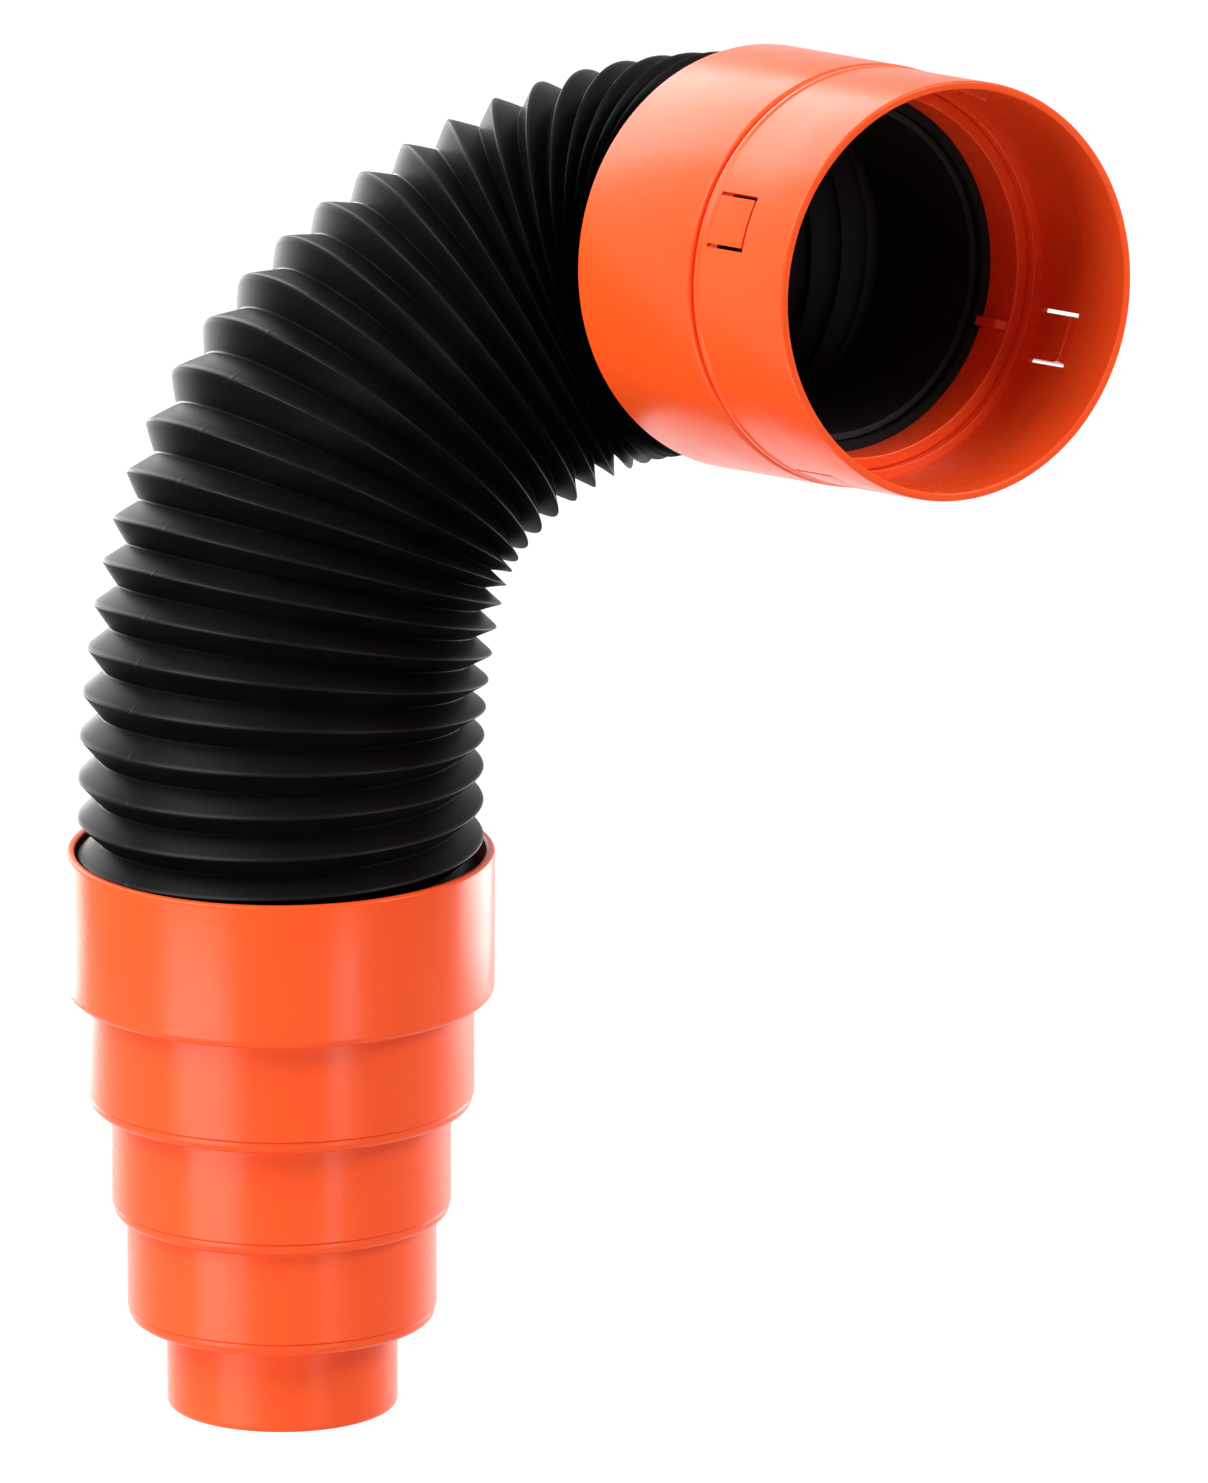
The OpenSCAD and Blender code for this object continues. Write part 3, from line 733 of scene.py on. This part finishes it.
insert = turned("Insert", rounded([
    [INSERT_BORE_R, INSERT_Z, 0.4], [tube_r, INSERT_Z], [tube_r, WEB_LOW], [SLEEVE_BORE_R, WEB_LOW],
    [SLEEVE_BORE_R, WEB_HIGH], [tube_r, WEB_HIGH], [tube_r, NOSE_Z], [INSERT_R, NOSE_Z],
    [INSERT_R, groove_z], [groove_r, groove_z],
    [groove_r, groove_z + SEAL_W], [INSERT_R, groove_z + SEAL_W],
    [INSERT_R, SLEEVE_LEN, 0.3], [INSERT_BORE_R, SLEEVE_LEN, 0.4]]), COUPLING)
keys = sectors("Insert_keys", rounded([
    [INSERT_BORE_R - KEY_H, HOSE_TOP_Z + 2, 0.4], [INSERT_BORE_R + 0.4, HOSE_TOP_Z + 2],
    [INSERT_BORE_R + 0.4, SLEEVE_LEN - 0.6], [INSERT_BORE_R - KEY_H, SLEEVE_LEN - 2.2, 1.2]], 4),
    [TAB_TURN, TAB_TURN + 180], KEY_W, COUPLING, 4)
for piece in (insert, keys):
    orange_piece(piece, "hose_end_insert", "coupling")
print("stop face", round(COUPLING_LEN - SLEEVE_LEN, 1), "mm inside the mouth")

# %% [markdown]
# ## The turning collar
#
# The collar is turned too, but its wall has four windows for the latch tabs. Cutting them with a
# Boolean would leave long thin faces and broken shading. Instead the angles of the grid are chosen
# so that they fall on the windows' edges, the faces inside a window are left out, and four plain
# walls close it. The collar's outline comes first.

# %% Outline of the collar
MOUTH_R, BORE_R, SKIRT_R, SKIRT_BORE_R = 46.4, 44.5, 45.2, 43.1
SKIRT_Z, LEDGE_Z, COLLAR_Z = 28.0, SLEEVE_LEN + 0.2, 45.4
TAB_LEN, TAB_W, SLIT_W = 13.2, 11.0, 0.9
TAB_ROOT = COLLAR_Z + 3.1
TAB_END = TAB_ROOT + TAB_LEN + SLIT_W
LAND_Z, RELIEF_R, LEDGE_R = TAB_END + 0.8, BORE_R + 0.5, MOUTH_R - 0.7
SKIRT_GROOVE_R, GROOVE_LOW, GROOVE_HIGH = SKIRT_R - 1.3, SWIVEL_LOW - 0.2, SWIVEL_HIGH + 0.2
TAB_ANGLE = np.degrees(TAB_W / MOUTH_R)
SLIT_ANGLE = np.degrees(SLIT_W / MOUTH_R)

collar_loop = rounded([
    [SKIRT_BORE_R, SKIRT_Z, 0.3], [SKIRT_R, SKIRT_Z, 0.5],
    [SKIRT_R, GROOVE_LOW], [SKIRT_GROOVE_R, GROOVE_LOW],
    [SKIRT_GROOVE_R, GROOVE_HIGH], [SKIRT_R, GROOVE_HIGH],
    [SKIRT_R, LEDGE_Z], [LEDGE_R, LEDGE_Z], [LEDGE_R, COLLAR_Z], [MOUTH_R + 0.3, COLLAR_Z, 0.2],
    [MOUTH_R + 0.3, COLLAR_Z + 1.0, 0.3], [MOUTH_R, COLLAR_Z + 1.8, 0.8],
    [MOUTH_R, TAB_ROOT], [MOUTH_R, TAB_END], [MOUTH_R, COUPLING_LEN, 0.6], [BORE_R, COUPLING_LEN, 0.5],
    [BORE_R, LAND_Z, 0.2], [RELIEF_R, LAND_Z], [RELIEF_R, TAB_END], [RELIEF_R, TAB_ROOT],
    [RELIEF_R, COLLAR_Z + 0.8], [SKIRT_BORE_R, COLLAR_Z + 0.8, 0.3]])
print("collar's outline:", len(collar_loop), "points")

# %% [markdown]
# ## The collar's windows
#
# The grid has more angles inside a window than the flat walls need, because the collar stays round
# there. Two rows of the outline lie on a window's lower and upper edge, on the outside and on the
# inside, and the four walls join them.

# %% Collar with windows
BEFORE, ACROSS, AFTER = 18, 14, 18


def row_of(loop, r, z):
    """Index of the loop's point at radius r and height z."""
    return int(np.argmin(np.abs(loop - [r, z]).sum(1)))


def windowed(name, loop, place):
    """Surface of revolution without the faces of the windows, whose edges are closed by walls."""
    half = TAB_ANGLE / 2 + SLIT_ANGLE
    edges = ((-45, -half, BEFORE), (-half, half, ACROSS), (half, 45, AFTER))
    quarter = np.concatenate([np.linspace(*edge, endpoint=False) for edge in edges])
    w = np.radians(TAB_TURN + np.add.outer(90 * np.arange(4), quarter).ravel())
    n, m = len(loop), len(w)
    i, j = np.meshgrid(np.arange(n), np.arange(m), indexing="ij")
    i2, j2 = (i + 1) % n, (j + 1) % m
    low_out, high_out = row_of(loop, MOUTH_R, TAB_ROOT), row_of(loop, MOUTH_R, TAB_END)
    high_in, low_in = row_of(loop, RELIEF_R, TAB_END), row_of(loop, RELIEF_R, TAB_ROOT)
    column = j % len(quarter)
    inside = (column >= BEFORE) & (column < BEFORE + ACROSS)
    keep = ~(inside & ((i == low_out) | (i == high_in)))
    faces = quads(*[v[keep] for v in (i * m + j, i * m + j2, i2 * m + j2, i2 * m + j)])
    first = len(quarter) * np.arange(4) + BEFORE
    last = first + ACROSS
    k = np.add.outer(first, np.arange(ACROSS)).ravel()
    faces += quads(low_out * m + k, low_in * m + k, low_in * m + k + 1, low_out * m + k + 1)
    faces += quads(high_in * m + k, high_out * m + k, high_out * m + k + 1, high_in * m + k + 1)
    faces += quads(low_out * m + first, high_out * m + first, high_in * m + first, low_in * m + first)
    faces += quads(high_out * m + last, low_out * m + last, low_in * m + last, high_in * m + last)
    return make_mesh(name, round_axis(loop, w, place), faces)


collar = windowed("Collar", collar_loop, COUPLING)
orange_piece(collar, "locking_collar", "collar")
print("collar:", len(collar.data.polygons), "faces, a window spans",
      round(TAB_ANGLE + 2 * SLIT_ANGLE, 1), "degrees")

# %% [markdown]
# ## Latch tabs
#
# A latch tab is a strip of the collar's own wall, joined to it at one end and free at the other,
# where a barb points inwards. It is a loop again, turned through the tab's own angle, so its outside
# has the collar's curve.

# %% Latch tabs
BARB_R, BARB_LEN, TAB_GAP = BORE_R - 0.9, 3.4, 0.05
tab_top, tab_r = TAB_ROOT + TAB_LEN, MOUTH_R - TAB_GAP
tab_loop = rounded([
    [RELIEF_R, TAB_ROOT + TAB_GAP], [tab_r, TAB_ROOT + TAB_GAP], [tab_r, tab_top, 0.2],
    [BARB_R, tab_top, 0.25], [BARB_R, tab_top - 0.6, 0.3], [RELIEF_R, tab_top - BARB_LEN, 0.6]], 4)
for k in range(4):
    tab = sectors("Tab_{}".format(k + 1), tab_loop, [TAB_TURN + 90 * k], TAB_ANGLE, COUPLING)
    orange_piece(tab, "latch_tab_{}".format(k + 1), "tab_{}".format(k + 1))
print("barbs stand", round(RELIEF_R - BARB_R, 1), "mm in from the tabs")

# %% [markdown]
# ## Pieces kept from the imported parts
#
# Liners, seals and clips are simple rings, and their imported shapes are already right. They keep their
# meshes and only get their finish.

# %% Finishes of the kept pieces
KEPT = {
    liner_black: ("lower_hose_liner", "upper_hose_liner"),
    seal_black: ("upper_joint_seal", "middle_joint_seal", "lower_joint_seal", "socket_gasket",
                 "hose_end_seal", "collar_seal"),
    steel: ("socket_clip", "swivel_clip"),
}
for finish, names in KEPT.items():
    for name in names:
        nodes[name].data.materials.clear()
        nodes[name].data.materials.append(finish)
print("kept:", sum(len(names) for names in KEPT.values()), "nodes")
